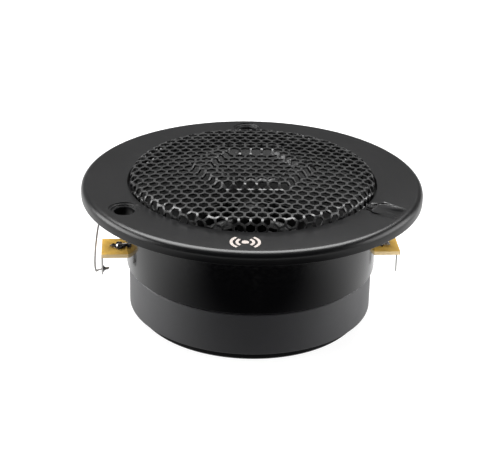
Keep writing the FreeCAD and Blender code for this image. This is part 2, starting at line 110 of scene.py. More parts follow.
def pick(piece, kind, test):
    """Select the "verts", "edges" or "faces" of the open mesh that pass a test."""
    mesh = bmesh.from_edit_mesh(piece.data)
    for item in getattr(mesh, kind):
        item.select_set(bool(test(item)))
    bmesh.update_edit_mesh(piece.data)


def close_up(piece, angle=35):
    """Merge doubles, turn faces outward, leave edit mode and shade smooth by angle."""
    if piece.mode != "EDIT":
        open_mesh(piece)
    bpy.ops.mesh.select_all(action="SELECT")
    bpy.ops.mesh.remove_doubles(threshold=0.0005 * MM)
    bpy.ops.mesh.normals_make_consistent(inside=False)
    bpy.ops.object.mode_set(mode="OBJECT")
    bpy.ops.object.shade_smooth_by_angle(angle=math.radians(angle))
    return piece


def drawn(name, points):
    """A wire drawn point by point, with no faces yet. Leaves the mesh open."""
    let_go()
    bpy.ops.mesh.primitive_plane_add(size=MM)
    piece = named(name)
    bpy.ops.object.mode_set(mode="EDIT")
    bpy.ops.mesh.select_mode(type="VERT")
    bpy.ops.mesh.select_all(action="SELECT")
    bpy.ops.mesh.merge(type="CENTER")
    here = Vector(points[0]) * MM
    bpy.ops.transform.translate(value=here)
    for point in points[1:]:
        there = Vector(point) * MM
        bpy.ops.mesh.extrude_vertices_move(TRANSFORM_OT_translate={"value": there - here})
        here = there
    bpy.ops.mesh.select_all(action="SELECT")
    return piece


def turned(name, profile, steps=RIM_STEPS, angle=35):
    """A lathe-turned piece: an (r, z) profile spun round Z."""
    on_axis = profile[0][0] == 0 and profile[-1][0] == 0
    closing = [] if on_axis else profile[:1]
    piece = drawn(name, [(r, 0, z) for r, z in profile + closing])
    bpy.ops.mesh.remove_doubles(threshold=0.0005 * MM)
    bpy.ops.mesh.spin(steps=steps, angle=2 * math.pi, center=(0, 0, 0), axis=(0, 0, 1))
    return close_up(piece, angle)


def arc(centre, radius, start, end, points=6):
    """Points on an arc in the (r, z) plane, both ends included; angles in degrees."""
    found = []
    for k in range(points + 1):
        a = math.radians(start + (end - start) * k / points)
        found.append((centre[0] + radius * math.cos(a), centre[1] + radius * math.sin(a)))
    return found


def block(name, low, high):
    """A box between two corners, from a cube primitive."""
    let_go()
    low, high = Vector(low) * MM, Vector(high) * MM
    bpy.ops.mesh.primitive_cube_add(size=1, location=(low + high) / 2, scale=high - low)
    bpy.ops.object.transform_apply(location=True, rotation=True, scale=True)
    return named(name)


def rod(name, radius, centre, z_low, z_high, steps=SMALL_STEPS):
    let_go()
    middle = Vector((centre[0], centre[1], (z_low + z_high) / 2)) * MM
    bpy.ops.mesh.primitive_cylinder_add(vertices=steps, radius=radius * MM,
                                        depth=(z_high - z_low) * MM, location=middle)
    bpy.ops.object.transform_apply(location=True, rotation=True, scale=True)
    return named(name)


def apply_modifier(piece, kind, **settings):
    take(piece)
    modifier = piece.modifiers.new(kind.lower(), kind)
    for key, value in settings.items():
        setattr(modifier, key, value)
    bpy.ops.object.modifier_apply(modifier=modifier.name)
    return piece


def soften(piece, width, segments=2, angle=40):
    """Round the sharp edges a little."""
    return apply_modifier(piece, "BEVEL", width=width * MM, segments=segments,
                          limit_method="ANGLE", angle_limit=math.radians(angle))


def carve(piece, *tools):
    """Cut tools out of a piece and throw the tools away."""
    for tool in tools:
        apply_modifier(piece, "BOOLEAN", operation="DIFFERENCE", solver="EXACT", object=tool)
        bpy.data.objects.remove(tool)
    return piece


def set_down(piece, turn=0.0, shift=(0, 0, 0)):
    """Turn a piece about Z after a shift, and keep its place in its mesh."""
    take(piece)
    move = Matrix.Rotation(turn, 4, "Z") @ Matrix.Translation(Vector(shift) * MM)
    piece.matrix_world = move @ piece.matrix_world
    bpy.ops.object.transform_apply(location=True, rotation=True, scale=True)
    return piece


def side_turn(side):
    return BOARD_TURN + (math.pi if side == "left" else 0)


def copies(piece, turns):
    """Turned copies of a piece about Z, each with its own mesh; the piece is one of them."""
    found = []
    for turn in turns:
        copy = piece.copy()
        copy.data = piece.data.copy()
        bpy.context.scene.collection.objects.link(copy)
        found.append(set_down(copy, turn))
    bpy.data.objects.remove(piece)
    return found


def joined(name, pieces):
    take(pieces[0])
    for piece in pieces:
        piece.select_set(True)
    bpy.ops.object.join()
    return named(name)


def installed(piece, body, slot, *stands_for):
    """Give a finished piece its material, its body and the CAD nodes it stands for."""
    piece.data.materials.clear()
    piece.data.materials.append(materials[slot])
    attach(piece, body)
    if stands_for:
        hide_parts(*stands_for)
    return piece


# ---------------------------------------------------------------- shader groups

def socket(tree, name, in_out, kind, value=None):
    made = tree.interface.new_socket(name=name, in_out=in_out, socket_type=kind)
    if value is not None:
        made.default_value = value
    return made


def put(tree, kind, links=(), **values):
    """Add a node. values go to its inputs or properties, links are (socket, output) pairs."""
    node = tree.nodes.new(kind)
    for key, value in values.items():
        if key in node.inputs:
            node.inputs[key].default_value = value
        else:
            setattr(node, key, value)
    for key, output in links:
        tree.links.new(output, node.inputs[key])
    return node


def new_group(name, inputs, outputs):
    tree = bpy.data.node_groups.new(name, "ShaderNodeTree")
    for key, value in inputs:
        socket(tree, key, "INPUT", "NodeSocketFloat", value)
    for key in outputs:
        socket(tree, key, "OUTPUT", "NodeSocketFloat")
    return tree, tree.nodes.new("NodeGroupInput"), tree.nodes.new("NodeGroupOutput")


def make_spark_grain():
    """Fine irregular texture of a spark-eroded mould or sprayed enamel, with slow clouds."""
    tree, given, out = new_group("spark_grain", [("Scale", 4000.0), ("Clouds", 60.0)],
                                 ["Height", "Cloud"])
    place = put(tree, "ShaderNodeTexCoord")
    fine = put(tree, "ShaderNodeTexNoise", [("Vector", place.outputs["Object"]),
               ("Scale", given.outputs["Scale"])], Detail=3.0, Roughness=0.6)
    slow = put(tree, "ShaderNodeTexNoise", [("Vector", place.outputs["Object"]),
               ("Scale", given.outputs["Clouds"])], Detail=4.0, Roughness=0.55)
    tree.links.new(fine.outputs["Fac"], out.inputs["Height"])
    tree.links.new(slow.outputs["Fac"], out.inputs["Cloud"])
    return tree


def make_edge_wear():
    """Mask of rubbed convex edges, broken up by noise."""
    tree, given, out = new_group("edge_wear", [("Start", 0.52), ("End", 0.62), ("Scale", 900.0)],
                                 ["Mask"])
    shape = put(tree, "ShaderNodeNewGeometry")
    place = put(tree, "ShaderNodeTexCoord")
    edge = put(tree, "ShaderNodeMapRange", [("Value", shape.outputs["Pointiness"]),
               ("From Min", given.outputs["Start"]), ("From Max", given.outputs["End"])])
    noise = put(tree, "ShaderNodeTexNoise", [("Vector", place.outputs["Object"]),
                ("Scale", given.outputs["Scale"])], Detail=4.0)
    broken = put(tree, "ShaderNodeMapRange", [("Value", noise.outputs["Fac"])])
    broken.inputs["From Min"].default_value = 0.42
    broken.inputs["From Max"].default_value = 0.6
    both = put(tree, "ShaderNodeMath", operation="MULTIPLY")
    tree.links.new(edge.outputs["Result"], both.inputs[0])
    tree.links.new(broken.outputs["Result"], both.inputs[1])
    tree.links.new(both.outputs["Value"], out.inputs["Mask"])
    return tree


def make_settled_dust():
    """Sparse specks and a thin film on faces that look up."""
    tree, given, out = new_group("settled_dust", [("Amount", 0.2), ("Scale", 700.0)], ["Mask"])
    shape = put(tree, "ShaderNodeNewGeometry")
    place = put(tree, "ShaderNodeTexCoord")
    split = put(tree, "ShaderNodeSeparateXYZ", [("Vector", shape.outputs["Normal"])])
    up = put(tree, "ShaderNodeMapRange", [("Value", split.outputs["Z"])])
    up.inputs["From Min"].default_value = 0.3
    up.inputs["From Max"].default_value = 1.0
    specks = put(tree, "ShaderNodeTexNoise", [("Vector", place.outputs["Object"]),
                 ("Scale", given.outputs["Scale"])], Detail=5.0, Roughness=0.7)
    sparse = put(tree, "ShaderNodeMapRange", [("Value", specks.outputs["Fac"])])
    sparse.inputs["From Min"].default_value = 0.58
    sparse.inputs["From Max"].default_value = 0.78
    lit = put(tree, "ShaderNodeMath", operation="MULTIPLY")
    tree.links.new(up.outputs["Result"], lit.inputs[0])
    tree.links.new(sparse.outputs["Result"], lit.inputs[1])
    scaled = put(tree, "ShaderNodeMath", operation="MULTIPLY")
    tree.links.new(lit.outputs["Value"], scaled.inputs[0])
    tree.links.new(given.outputs["Amount"], scaled.inputs[1])
    tree.links.new(scaled.outputs["Value"], out.inputs["Mask"])
    return tree


def make_lathe_marks():
    """Concentric tool marks about the Z axis; Pitch is in rings per metre."""
    tree, given, out = new_group("lathe_marks", [("Pitch", 4000.0)], ["Height"])
    place = put(tree, "ShaderNodeTexCoord")
    split = put(tree, "ShaderNodeSeparateXYZ", [("Vector", place.outputs["Object"])])
    flat = put(tree, "ShaderNodeCombineXYZ", [("X", split.outputs["X"]), ("Y", split.outputs["Y"])])
    radius = put(tree, "ShaderNodeVectorMath", [("Vector", flat.outputs["Vector"])],
                 operation="LENGTH")
    reach = put(tree, "ShaderNodeMath", operation="ADD")
    tree.links.new(radius.outputs["Value"], reach.inputs[0])
    tree.links.new(split.outputs["Z"], reach.inputs[1])
    rings = put(tree, "ShaderNodeTexNoise", [("W", reach.outputs["Value"]),
                ("Scale", given.outputs["Pitch"])], noise_dimensions="1D", Detail=2.0)
    tree.links.new(rings.outputs["Fac"], out.inputs["Height"])
    return tree


def make_cloth_weave():
    """Plain weave seen from above: two crossed waves; Threads is in threads per metre."""
    tree, given, out = new_group("cloth_weave", [("Threads", 4200.0)], ["Height"])
    place = put(tree, "ShaderNodeTexCoord")
    scaled = put(tree, "ShaderNodeVectorMath", [("Vector", place.outputs["Object"])],
                 operation="SCALE")
    tree.links.new(given.outputs["Threads"], scaled.inputs["Scale"])
    split = put(tree, "ShaderNodeSeparateXYZ", [("Vector", scaled.outputs["Vector"])])
    waves = []
    for axis in ("X", "Y"):
        wave = put(tree, "ShaderNodeMath", operation="SINE")
        tree.links.new(split.outputs[axis], wave.inputs[0])
        waves.append(wave)
    crossed = put(tree, "ShaderNodeMath", operation="MULTIPLY")
    tree.links.new(waves[0].outputs["Value"], crossed.inputs[0])
    tree.links.new(waves[1].outputs["Value"], crossed.inputs[1])
    tree.links.new(crossed.outputs["Value"], out.inputs["Height"])
    return tree


def make_drawn_lines():
    """Long fine scratches along Z, as on rolled or drawn strip and wire."""
    tree, given, out = new_group("drawn_lines", [("Scale", 5000.0)], ["Height"])
    place = put(tree, "ShaderNodeTexCoord")
    squeezed = put(tree, "ShaderNodeVectorMath", [("Vector", place.outputs["Object"])],
                   operation="MULTIPLY")
    squeezed.inputs[1].default_value = (1.0, 1.0, 0.06)
    lines = put(tree, "ShaderNodeTexNoise", [("Vector", squeezed.outputs["Vector"]),
                ("Scale", given.outputs["Scale"])], Detail=3.0)
    tree.links.new(lines.outputs["Fac"], out.inputs["Height"])
    return tree


groups = {
    "spark_grain": make_spark_grain(),
    "edge_wear": make_edge_wear(),
    "settled_dust": make_settled_dust(),
    "lathe_marks": make_lathe_marks(),
    "cloth_weave": make_cloth_weave(),
    "drawn_lines": make_drawn_lines(),
}


# ---------------------------------------------------------------- materials

materials = {}


def use_group(tree, name, **values):
    node = tree.nodes.new("ShaderNodeGroup")
    node.node_tree = groups[name]
    for key, value in values.items():
        node.inputs[key].default_value = value
    return node


def tinted(tree, mask, first, second):
    """A colour that goes from first to second along a mask."""
    ramp = put(tree, "ShaderNodeMix", data_type="RGBA")
    ramp.inputs["A"].default_value = (*first, 1)
    ramp.inputs["B"].default_value = (*second, 1)
    tree.links.new(mask, ramp.inputs["Factor"])
    return ramp.outputs["Result"]


def over(tree, mask, below, colour):
    """Lay a flat colour over another colour where a mask is set."""
    mix = put(tree, "ShaderNodeMix", data_type="RGBA")
    tree.links.new(mask, mix.inputs["Factor"])
    tree.links.new(below, mix.inputs["A"])
    mix.inputs["B"].default_value = (*colour, 1)
    return mix.outputs["Result"]


def between(tree, mask, low, high):
    """A value that goes from low to high along a mask."""
    ranged = put(tree, "ShaderNodeMapRange", [("Value", mask)])
    ranged.inputs["To Min"].default_value = low
    ranged.inputs["To Max"].default_value = high
    return ranged.outputs["Result"]


def bumped(tree, height, distance, below=None):
    """A normal from a height field; distance is in millimetres."""
    bump = put(tree, "ShaderNodeBump", [("Height", height)], Distance=distance * MM)
    if below:
        tree.links.new(below, bump.inputs["Normal"])
    return bump.outputs["Normal"]


def new_material(slot, **shader_values):
    material = bpy.data.materials.new(slot)
    material.use_nodes = True
    tree = material.node_tree
    shader = tree.nodes["Principled BSDF"]
    for key, value in shader_values.items():
        shader.inputs[key.replace("_", " ")].default_value = value
    materials[slot] = material
    return tree, shader


def wire_up(tree, shader, colour, roughness, normal):
    tree.links.new(colour, shader.inputs["Base Color"])
    tree.links.new(roughness, shader.inputs["Roughness"])
    tree.links.new(normal, shader.inputs["Normal"])


def moulded(slot, dark, light, rough, grain, depth, dust, wear=(0.12, 0.12, 0.12), **shader_values):
    """Black plastic or enamel: clouded colour, fine grain, rubbed edges and a little dust."""
    tree, shader = new_material(slot, **shader_values)
    skin = use_group(tree, "spark_grain", Scale=grain)
    worn = use_group(tree, "edge_wear")
    film = use_group(tree, "settled_dust", Amount=dust)
    colour = tinted(tree, skin.outputs["Cloud"], dark, light)
    colour = over(tree, worn.outputs["Mask"], colour, wear)
    colour = over(tree, film.outputs["Mask"], colour, (0.42, 0.40, 0.37))
    wire_up(tree, shader, colour, between(tree, skin.outputs["Cloud"], *rough),
            bumped(tree, skin.outputs["Height"], depth))


def machined(slot, dark, light, rough, pitch, depth, **shader_values):
    """Turned or plated metal with concentric tool marks and slight staining."""
    tree, shader = new_material(slot, Metallic=1.0, **shader_values)
    skin = use_group(tree, "spark_grain", Scale=2500.0, Clouds=220.0)
    marks = use_group(tree, "lathe_marks", Pitch=pitch)
    colour = tinted(tree, skin.outputs["Cloud"], dark, light)
    normal = bumped(tree, marks.outputs["Height"], depth)
    wire_up(tree, shader, colour, between(tree, skin.outputs["Cloud"], *rough), normal)


def drawn_metal(slot, dark, light, rough, depth, clouds=500.0, **shader_values):
    """Rolled strip or drawn wire: long scratches, patchy tarnish."""
    tree, shader = new_material(slot, Metallic=1.0, **shader_values)
    skin = use_group(tree, "spark_grain", Scale=6000.0, Clouds=clouds)
    lines = use_group(tree, "drawn_lines")
    colour = tinted(tree, skin.outputs["Cloud"], dark, light)
    normal = bumped(tree, lines.outputs["Height"], depth)
    wire_up(tree, shader, colour, between(tree, skin.outputs["Cloud"], *rough), normal)


def woven(slot, dark, light, rough, threads, depth, **shader_values):
    """Doped or raw cloth: weave in the bump, uneven coating in colour and roughness."""
    tree, shader = new_material(slot, **shader_values)
    skin = use_group(tree, "spark_grain", Scale=1500.0, Clouds=300.0)
    weave = use_group(tree, "cloth_weave", Threads=threads)
    colour = tinted(tree, skin.outputs["Cloud"], dark, light)
    normal = bumped(tree, weave.outputs["Height"], depth)
    normal = bumped(tree, skin.outputs["Height"], depth * 0.6, normal)
    wire_up(tree, shader, colour, between(tree, skin.outputs["Cloud"], *rough), normal)


def ferrite_dark():
    """Ground ceramic magnet: bluish grey with soft mottling and grinding streaks."""
    tree, shader = new_material("ferrite_dark", Specular_IOR_Level=1.0)
    skin = use_group(tree, "spark_grain", Scale=2200.0, Clouds=130.0)
    broad = use_group(tree, "spark_grain", Scale=420.0, Clouds=45.0)
    marks = use_group(tree, "lathe_marks", Pitch=1800.0)
    colour = tinted(tree, broad.outputs["Cloud"], (0.014, 0.014, 0.015), (0.024, 0.024, 0.026))
    rub = between(tree, broad.outputs["Height"], -0.6, 1.0)
    colour = over(tree, rub, colour, (0.021, 0.021, 0.024))
    normal = bumped(tree, skin.outputs["Height"], 0.012)
    normal = bumped(tree, marks.outputs["Height"], 0.004, normal)
    wire_up(tree, shader, colour, between(tree, skin.outputs["Cloud"], 0.42, 0.56), normal)


def board_fibre():
    """Phenolic paper board: golden, cloudy, with paper fibres and paler sawn edges, which are
    brightened further as painted light.
    """
    tree, shader = new_material("board_fibre", Specular_IOR_Level=0.25)
    place = put(tree, "ShaderNodeTexCoord")
    stretched = put(tree, "ShaderNodeMapping", [("Vector", place.outputs["Object"])])
    stretched.inputs["Scale"].default_value = (1.0, 0.22, 3.0)
    fibres = put(tree, "ShaderNodeTexNoise", [("Vector", stretched.outputs["Vector"])],
                 Scale=1400.0, Detail=6.0, Roughness=0.65)
    clouds = put(tree, "ShaderNodeTexNoise", [("Vector", place.outputs["Object"])],
                 Scale=260.0, Detail=3.0)
    colour = tinted(tree, clouds.outputs["Fac"], (0.74, 0.42, 0.065), (0.92, 0.60, 0.14))
    fleck = between(tree, fibres.outputs["Fac"], -0.9, 0.9)
    colour = over(tree, fleck, colour, (0.56, 0.30, 0.04))
    # Upright faces are the sawn edges: paler, as cut paper board is, and brightened further as
    # painted light where the lamps leave the front edges dark.
    shape = put(tree, "ShaderNodeNewGeometry")
    facing = put(tree, "ShaderNodeSeparateXYZ", [("Vector", shape.outputs["True Normal"])])
    flat = put(tree, "ShaderNodeMath", operation="ABSOLUTE")
    tree.links.new(facing.outputs["Z"], flat.inputs[0])
    sawn_and_lit_edges = put(tree, "ShaderNodeMapRange", [("Value", flat.outputs["Value"])])
    sawn_and_lit_edges.inputs["To Min"].default_value = 0.9
    sawn_and_lit_edges.inputs["To Max"].default_value = 0.0
    colour = over(tree, sawn_and_lit_edges.outputs["Result"], colour, (0.84, 0.66, 0.38))
    wire_up(tree, shader, colour, between(tree, clouds.outputs["Fac"], 0.32, 0.52),
            bumped(tree, fibres.outputs["Fac"], 0.02))


def print_white():
    """Pad-printed ink: slightly uneven off-white film."""
    tree, shader = new_material("print_white", Specular_IOR_Level=0.35)
    skin = use_group(tree, "spark_grain", Scale=5200.0, Clouds=900.0)
    colour = tinted(tree, skin.outputs["Cloud"], (0.30, 0.262, 0.24), (0.37, 0.33, 0.305))
    wire_up(tree, shader, colour, between(tree, skin.outputs["Cloud"], 0.45, 0.6),
            bumped(tree, skin.outputs["Height"], 0.006))


def solder_bright():
    """Frozen solder: bright, with shallow ripples and dull flux-stained patches."""
    tree, shader = new_material("solder_bright", Metallic=1.0)
    skin = use_group(tree, "spark_grain", Scale=1300.0, Clouds=900.0)
    colour = tinted(tree, skin.outputs["Cloud"], (0.40, 0.40, 0.40), (0.82, 0.82, 0.83))
    wire_up(tree, shader, colour, between(tree, skin.outputs["Cloud"], 0.38, 0.14),
            bumped(tree, skin.outputs["Height"], 0.09))


def capacitor_sleeve():
    """Shrunk sleeve: glossy dark blue with a plain pale stripe along the can."""
    tree, shader = new_material("capacitor_sleeve", Specular_IOR_Level=0.5)
    skin = use_group(tree, "spark_grain", Scale=900.0, Clouds=350.0)
    colour = tinted(tree, skin.outputs["Cloud"], (0.012, 0.022, 0.075), (0.02, 0.035, 0.11))
    shape = put(tree, "ShaderNodeNewGeometry")
    facing = put(tree, "ShaderNodeSeparateXYZ", [("Vector", shape.outputs["Normal"])])
    stripe = put(tree, "ShaderNodeMath", operation="LESS_THAN")
    tree.links.new(facing.outputs["X"], stripe.inputs[0])
    stripe.inputs[1].default_value = -0.86
    colour = over(tree, stripe.outputs["Value"], colour, (0.55, 0.56, 0.58))
    wire_up(tree, shader, colour, between(tree, skin.outputs["Cloud"], 0.18, 0.34),
            bumped(tree, skin.outputs["Height"], 0.03))


def adhesive_amber():
    """Set rubber adhesive: slightly clear amber with a rippled skin."""
    tree, shader = new_material("adhesive_amber", Subsurface_Weight=0.25, Coat_Weight=0.3)
    shader.inputs["Subsurface Radius"].default_value = (0.002, 0.001, 0.0005)
    skin = use_group(tree, "spark_grain", Scale=420.0, Clouds=260.0)
    colour = tinted(tree, skin.outputs["Cloud"], (0.42, 0.27, 0.09), (0.58, 0.42, 0.18))
    wire_up(tree, shader, colour, between(tree, skin.outputs["Cloud"], 0.25, 0.5),
            bumped(tree, skin.outputs["Height"], 0.15))


def make_materials():
    moulded("flange_black", (0.0012, 0.0012, 0.0014), (0.0022, 0.0022, 0.0025), (0.28, 0.33),
            5200.0, 0.005, 0.03, (0.008, 0.008, 0.008), Specular_IOR_Level=0.38)
    moulded("collar_gloss", (0.0010, 0.0010, 0.0012), (0.0016, 0.0016, 0.0019), (0.13, 0.18),
            2600.0, 0.001, 0.01, (0.02, 0.02, 0.02), Specular_IOR_Level=0.5)
    moulded("grille_enamel", (0.005, 0.005, 0.0052), (0.009, 0.009, 0.0093), (0.26, 0.34),
            3000.0, 0.005, 0.08, (0.06, 0.06, 0.06), Specular_IOR_Level=0.5)
    moulded("horn_black", (0.002, 0.002, 0.002), (0.004, 0.004, 0.004), (0.42, 0.54),
            3500.0, 0.012, 0.1, (0.02, 0.02, 0.02), Specular_IOR_Level=0.15)
    moulded("carrier_grey", (0.04, 0.04, 0.042), (0.06, 0.06, 0.062), (0.5, 0.6), 2500.0, 0.02, 0.1)
    # The top plate (slot plate_zinc) is near-black, far darker than bare zinc; it is what shows in
    # the gap below the collar.
    machined("plate_zinc", (0.010, 0.010, 0.011), (0.018, 0.018, 0.019), (0.3, 0.45), 5000.0,
             0.012)
    machined("yoke_black", (0.012, 0.012, 0.013), (0.028, 0.028, 0.029), (0.36, 0.48), 3500.0,
             0.010)
    machined("cap_copper", (0.62, 0.26, 0.14), (0.86, 0.42, 0.26), (0.18, 0.3), 5000.0, 0.006)
    machined("winding_copper", (0.42, 0.13, 0.05), (0.62, 0.24, 0.10), (0.2, 0.3), 9000.0, 0.06)
    machined("screw_zinc", (0.42, 0.42, 0.43), (0.62, 0.62, 0.60), (0.22, 0.38), 7000.0, 0.008)
    drawn_metal("former_foil", (0.66, 0.66, 0.67), (0.80, 0.80, 0.80), (0.22, 0.34), 0.006)
    drawn_metal("tag_brass", (0.52, 0.36, 0.13), (0.78, 0.58, 0.28), (0.22, 0.4), 0.01)
    drawn_metal("blade_tin", (0.36, 0.35, 0.34), (0.66, 0.65, 0.63), (0.22, 0.4), 0.012)
    drawn_metal("eyelet_dark", (0.055, 0.05, 0.055), (0.20, 0.19, 0.19), (0.18, 0.36), 0.02, 900.0)
    drawn_metal("wire_tinned", (0.34, 0.32, 0.31), (0.72, 0.70, 0.68), (0.3, 0.5), 0.015, 700.0)
    woven("coated_cloth", (0.012, 0.012, 0.012), (0.02, 0.02, 0.02), (0.42, 0.6), 5200.0, 0.02,
          Sheen_Weight=0.2)
    woven("dome_silk", (0.012, 0.012, 0.013), (0.024, 0.024, 0.026), (0.34, 0.55), 7500.0, 0.018,
          Sheen_Weight=0.3)
    woven("felt_grey", (0.20, 0.20, 0.19), (0.34, 0.34, 0.33), (0.85, 0.95), 2200.0, 0.15,
          Sheen_Weight=0.5)
    ferrite_dark()
    board_fibre()
    print_white()
    solder_bright()
    capacitor_sleeve()
    adhesive_amber()


make_materials()


# ---------------------------------------------------------------- housing

def make_flange():
    """Flange with crowned rim, stepped screw holes and the grille's recess."""
    bore_r = COLLAR_R - 2.5
    recess_r = 36.4
    floor_z = GRILLE_LOW - 0.02
    crown_r = 2.0
    seat, step = FLANGE_TOP - 0.35, FLANGE_TOP - 0.75
    profile = [(recess_r, floor_z), (recess_r, FLANGE_TOP - 0.25)]
    profile += arc((recess_r + 0.25, FLANGE_TOP - 0.25), 0.25, 180, 90, 4)
    profile += [(40.0, FLANGE_TOP)]
    profile += arc((FLANGE_R - crown_r, FLANGE_TOP - crown_r), crown_r, 90, 0, 12)
    profile += [(FLANGE_R, 0.3)]
    profile += arc((FLANGE_R - 0.3, 0.3), 0.3, 0, -90, 4)[1:]
    profile += [(COLLAR_R, 0), (COLLAR_R, 0.4), (bore_r, 0.4), (bore_r, floor_z)]
    flange = turned("flange_shell", profile)
    for turn in SCREW_ANGLES:
        tool = turned("hole_tool", [(0, -1), (2.9, -1), (2.9, step - 0.1), (3.0, step),
                                    (3.6, step), (3.7, step + 0.08), (3.72, seat - 0.06),
                                    (3.8, seat), (4.28, seat), (4.38, seat + 0.08),
                                    (4.4, FLANGE_TOP - 0.08), (4.48, FLANGE_TOP), (4.48, 5),
                                    (0, 5)], SMALL_STEPS * 2)
        carve(flange, set_down(tool, math.radians(turn), (42.3, 0, 0)))
    close_up(flange, 30)
    return installed(flange, "housing", "flange_black", "front_flange")


def make_collar():
    """Collar with its lit lower edge, the terminal slots and the inner lip."""
    bore_r = COLLAR_R - 2.5
    seat_r = PLATE_R + 0.1
    lip_r, lip_top = 28.0, PLATE_TOP + 2.2
    low, corner = COLLAR_LOW + 0.15, 0.25
    profile = [(COLLAR_R, 0.4), (COLLAR_R, -8.0), (COLLAR_R, low + corner)]
    profile += arc((COLLAR_R - corner, low + corner), corner, 0, -90, 5)[1:]
    profile += [(seat_r, low), (seat_r, PLATE_TOP), (lip_r, PLATE_TOP), (lip_r, lip_top),
                (bore_r, lip_top), (bore_r, 0.4)]
    collar = turned("collar_shell", profile)
    half_board, half_notch = 5.65, 0.9
    for side in ("left", "right"):
        slot = block("slot_tool", (26, -half_board, PLATE_TOP - 0.01),
                     (40, half_board, BOARD_TOP + 0.15))
        gap = block("gap_tool", (26, -half_board, PLATE_TOP - 0.02), (34.3, half_board, -14))
        notch = block("notch_tool", (26, -half_notch, BOARD_TOP), (40, half_notch, BOARD_TOP + 1.3))
        carve(collar, *[set_down(tool, side_turn(side)) for tool in (slot, gap, notch)])
    close_up(collar, 30)
    return installed(collar, "housing", "collar_gloss", "collar")


def make_magnet():
    """Ferrite ring: ground flat, with small chamfers."""
    bore_r, chamfer = 17.0, 0.22
    profile = [(bore_r, FERRITE_LOW), (FERRITE_R - chamfer, FERRITE_LOW),
               (FERRITE_R - 0.08, FERRITE_LOW + chamfer * 0.7), (FERRITE_R, FERRITE_LOW + chamfer),
               (FERRITE_R, PLATE_LOW - chamfer), (FERRITE_R - 0.08, PLATE_LOW - chamfer * 0.7),
               (FERRITE_R - chamfer, PLATE_LOW), (bore_r, PLATE_LOW)]
    magnet = turned("magnet_ring", profile)
    return installed(magnet, "housing", "ferrite_dark", "ferrite_magnet")


def make_yoke():
    """Back plate and pole in one turning."""
    pole_r = 11.85
    profile = [(0, YOKE_LOW + 0.25), (1.4, YOKE_LOW + 0.25), (1.8, YOKE_LOW),
               (YOKE_R - 0.6, YOKE_LOW), (YOKE_R, YOKE_LOW + 0.6), (YOKE_R, FERRITE_LOW - 0.2),
               (YOKE_R - 0.2, FERRITE_LOW), (pole_r, FERRITE_LOW), (pole_r, PLATE_TOP),
               (0, PLATE_TOP)]
    return installed(turned("back_plate", profile), "housing", "yoke_black", "yoke")


def make_grille():
    """Perforated sheet: hexagonal cells, a raised plain hexagon band and a turned-down rim."""
    pitch, web, sheet = 3.25, 0.62, 0.6
    flat_r, bend_r = 33.7, 2.0
    wall = GRILLE_EDGE - bend_r - GRILLE_LOW
    reach = flat_r + bend_r * math.pi / 2 + wall
    row = pitch * math.sqrt(3) / 2
    across = int(reach / pitch) + 2
    up = int(reach / row) + 2

    let_go()
    hole_r = (pitch - web) / math.sqrt(3)
    bpy.ops.mesh.primitive_circle_add(vertices=6, radius=hole_r * MM)
    cell = named("grille_mesh")
    bpy.ops.object.mode_set(mode="EDIT")
    bpy.ops.mesh.select_all(action="SELECT")
    bpy.ops.mesh.subdivide(number_cuts=2)
    bpy.ops.mesh.extrude_edges_move()
    bpy.ops.transform.resize(value=(pitch / (pitch - web), pitch / (pitch - web), 1))
    bpy.ops.object.mode_set(mode="OBJECT")
    apply_modifier(cell, "ARRAY", count=2, use_relative_offset=False, use_constant_offset=True,
                   constant_offset_displace=(pitch / 2 * MM, row * MM, 0))
    apply_modifier(cell, "ARRAY", count=2 * across, use_relative_offset=False,
                   use_constant_offset=True, constant_offset_displace=(pitch * MM, 0, 0))
    apply_modifier(cell, "ARRAY", count=up, use_relative_offset=False,
                   use_constant_offset=True, constant_offset_displace=(0, 2 * row * MM, 0))
    corner = (-across * pitch + GRILLE_PHASE[0], -2 * row * (up // 2) + GRILLE_PHASE[1], 0)
    set_down(cell, 0, corner)
    set_down(cell, MESH_TURN)
    open_mesh(cell, "FACE")
    bpy.ops.mesh.select_all(action="SELECT")
    bpy.ops.mesh.remove_doubles(threshold=0.01 * MM)
    pick(cell, "faces", lambda f: min(v.co.length for v in f.verts) > (reach - 0.02) * MM)
    bpy.ops.mesh.delete(type="FACE")
    bpy.ops.object.mode_set(mode="OBJECT")
    for point in cell.data.vertices:
        point.co = pressed(point.co, flat_r, bend_r, reach)
    upward = 1 if sum(face.normal.z for face in cell.data.polygons) > 0 else -1
    apply_modifier(cell, "SOLIDIFY", thickness=sheet * MM, offset=-upward, use_even_offset=True)
    soften(cell, 0.11, 1, 50)
    close_up(cell, 40)
    return installed(cell, "housing", "grille_enamel", "grille")


GRILLE_PHASE = (1.07, -0.52)
GRILLE_DOME = 1.48
GRILLE_EDGE = GRILLE_TOP - GRILLE_DOME
EMBLEM_IN, EMBLEM_OUT, EMBLEM_RISE = 10.2, 16.2, 1.25


def pressed(flat, flat_r, bend_r, reach):
    """Where a point of the flat sheet lands after the press: raised band, bend and wall."""
    x, y = flat.x / MM, flat.y / MM
    across = max(abs(y), abs(x * 0.866 + y * 0.5), abs(x * 0.866 - y * 0.5))
    inner = min(1, max(0, (across - EMBLEM_IN) / 1.1))
    outer = min(1, max(0, (EMBLEM_OUT - across) / 1.1))
    lift = EMBLEM_RISE * smooth_step(inner) * smooth_step(outer)
    s = math.hypot(x, y)
    if s <= flat_r:
        return Vector((x, y, GRILLE_TOP - GRILLE_DOME * (s / flat_r) ** 2 + lift)) * MM
    s_clamped = min(s, reach)
    bend_end = flat_r + bend_r * math.pi / 2
    if s_clamped < bend_end:
        a = (s_clamped - flat_r) / bend_r
        r, z = flat_r + bend_r * math.sin(a), GRILLE_EDGE - bend_r * (1 - math.cos(a))
    else:
        r, z = flat_r + bend_r, GRILLE_EDGE - bend_r - (s_clamped - bend_end)
    return Vector((x / s * r, y / s * r, z)) * MM


def smooth_step(t):
    return t * t * (3 - 2 * t)


